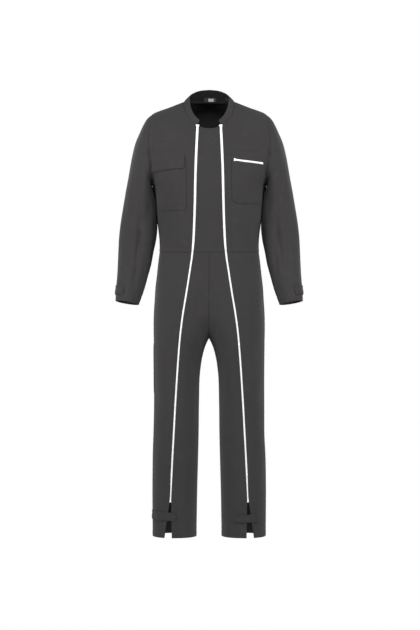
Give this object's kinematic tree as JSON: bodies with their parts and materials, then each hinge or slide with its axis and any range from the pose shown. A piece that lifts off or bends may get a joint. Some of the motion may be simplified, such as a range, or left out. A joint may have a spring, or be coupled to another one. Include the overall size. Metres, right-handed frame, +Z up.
{
  "type": "boiler suit",
  "caption": "Dark grey long-sleeved boiler suit with two white full-length front zips, a low stand collar, chest pockets, cuff tabs and strapped hem slits, standing open and hollow.",
  "frame": {"origin": "On the centre line between the shoulders, at the height of the side of the neckline, where the garment hangs from the shoulders", "axes": "+Z up along the garment's length, -Y out of the front, +X towards the wearer's left"},
  "size_m": [0.6492, 0.2648, 1.5479],
  "materials": {
    "cloth": "charcoal polyester-cotton twill, matt, with stitched seams",
    "zip_tape": "white moulded plastic teeth on white tape",
    "zip_slider": "white enamelled die-cast metal, smooth",
    "label": "bare woven label, dark satin weave"
  },
  "bodies": {
    "suit": {"front_centre": "cloth", "front_left": "cloth", "front_right": "cloth", "back": "cloth", "collar": "cloth", "sleeve_left": "cloth", "sleeve_right": "cloth", "leg_front_inner_left": "cloth", "leg_front_inner_right": "cloth", "leg_front_outer_left": "cloth", "leg_front_outer_right": "cloth", "leg_back_left": "cloth", "leg_back_right": "cloth", "chest_pocket_right": "cloth", "chest_flap_right": "cloth", "chest_pocket_left": "cloth", "chest_pocket_band_left": "cloth", "ruler_pocket_right": "cloth", "hem_tab_left": "cloth", "hem_tab_right": "cloth", "cuff_tab_left": "cloth", "cuff_tab_right": "cloth", "zip_left": "zip_tape", "zip_right": "zip_tape", "pocket_zip": "zip_tape", "zip_slider_left": "zip_slider", "zip_slider_right": "zip_slider", "pocket_zip_slider": "zip_slider", "neck_label": "label", "size_tab": "label"},
    "pull_left": {"zip_pull_left": "zip_slider"},
    "pull_right": {"zip_pull_right": "zip_slider"},
    "pull_pocket": {"pocket_zip_pull": "zip_slider"}
  },
  "joints": [
    {"name": "pull_left_hinge", "type": "hinge", "parent": "suit", "child": "pull_left", "pos_m": [0.0398, -0.07045, -0.08338], "axis": [-0.9981, 0.0283, -0.0541], "range_deg": [0, 110]},
    {"name": "pull_right_hinge", "type": "hinge", "parent": "suit", "child": "pull_right", "pos_m": [-0.0398, -0.07045, -0.08338], "axis": [-0.9981, -0.0283, 0.0541], "range_deg": [0, 110]},
    {"name": "pull_pocket_hinge", "type": "hinge", "parent": "suit", "child": "pull_pocket", "pos_m": [0.08865, -0.1202, -0.20246], "axis": [-0.0964, -0.1742, -0.98], "range_deg": [0, 110]}
  ]
}
